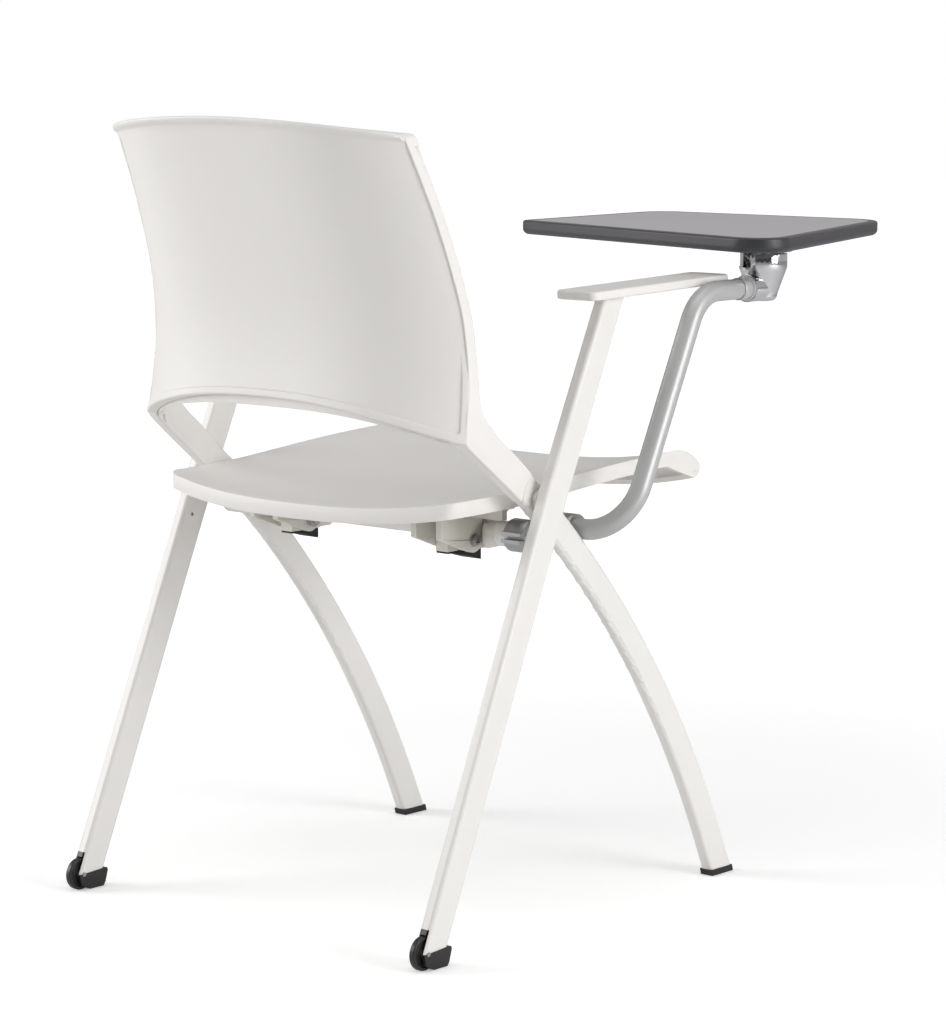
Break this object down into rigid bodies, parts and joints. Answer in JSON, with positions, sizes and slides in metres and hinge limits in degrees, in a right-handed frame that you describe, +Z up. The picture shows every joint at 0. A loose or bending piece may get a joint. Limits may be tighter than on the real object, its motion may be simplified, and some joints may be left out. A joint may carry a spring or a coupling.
{
  "type": "tablet arm chair",
  "caption": "Flip-seat chair with a moulded back on crossed tube side frames, rear rolling feet, armrests and a folding, swivelling writing tablet.",
  "frame": {"origin": "on the floor, midway between the side frames, 52 mm ahead of the seat's pivot axis", "axes": "+Z up, the chair faces -Y, the sitter's right is -X (the tablet's side)"},
  "size_m": [0.6167, 0.847, 0.8401],
  "materials": {
    "frame_paint": "satin",
    "casting": "cast, satin",
    "shell_plastic": "fine matte",
    "satin_steel": "satin",
    "zinc": "zinc plated",
    "silver_paint": "satin metallic",
    "light_plastic": "satin",
    "polished": "polished",
    "black_plastic": "satin",
    "rubber": "matte",
    "tablet_edge": "matte",
    "laminate": "fine texture"
  },
  "bodies": {
    "frame": {"rear_leg_left": "frame_paint", "rear_leg_right": "frame_paint", "front_leg_left": "frame_paint", "front_leg_right": "frame_paint", "arm_upright_left": "frame_paint", "arm_upright_right": "frame_paint", "armrest_left": "shell_plastic", "armrest_right": "shell_plastic", "armrest_screws": "zinc", "caster_cap_left": "black_plastic", "caster_cap_right": "black_plastic", "wheel_axles": "zinc", "glide_left": "black_plastic", "glide_right": "black_plastic", "cross_tube": "frame_paint", "side_tube_left": "frame_paint", "side_tube_right": "frame_paint", "seat_bracket_left": "casting", "seat_bracket_right": "casting", "pivot_bushes": "black_plastic", "rest_pads": "rubber", "tip_stops": "rubber", "back_rear_shell": "shell_plastic", "back_front_shell": "shell_plastic", "arm_spigots": "satin_steel", "frame_weld_pads": "satin_steel", "tablet_tube": "silver_paint", "tube_clamp_upper": "zinc", "tube_clamp_lower": "zinc", "clamp_bolts": "zinc", "tube_collar": "silver_paint", "elbow_gasket": "light_plastic"},
    "seat": {"seat_shell": "shell_plastic", "seat_hinge_left": "casting", "seat_hinge_right": "casting", "seat_hinge_screws": "zinc", "pivot_bolts": "zinc", "pivot_washers": "zinc", "pivot_nuts": "zinc"},
    "elbow": {"tablet_elbow": "polished"},
    "tablet": {"swivel_post": "zinc", "swivel_plate": "zinc", "swivel_screws": "zinc", "tablet_board": "tablet_edge", "tablet_top": "laminate"},
    "wheel_left": {"wheel_left": "black_plastic"},
    "wheel_right": {"wheel_right": "black_plastic"}
  },
  "joints": [
    {"name": "seat_flip", "type": "hinge", "parent": "frame", "child": "seat", "pos_m": [0, 0.052, 0.399], "axis": [-1, 0, 0], "range_deg": [0, 80]},
    {"name": "tablet_fold", "type": "hinge", "parent": "frame", "child": "elbow", "pos_m": [-0.286, -0.24, 0.6545], "axis": [0, -1, 0], "range_deg": [0, 90]},
    {"name": "tablet_swivel", "type": "hinge", "parent": "elbow", "child": "tablet", "pos_m": [-0.286, -0.252, 0.675], "axis": [0, 0, -1], "range_deg": [-15, 75]},
    {"name": "wheel_left_roll", "type": "hinge", "parent": "frame", "child": "wheel_left", "pos_m": [0.2505, 0.2588, 0.01738], "axis": [1, 0, 0], "continuous": true},
    {"name": "wheel_right_roll", "type": "hinge", "parent": "frame", "child": "wheel_right", "pos_m": [-0.2505, 0.2588, 0.01738], "axis": [1, 0, 0], "continuous": true}
  ]
}
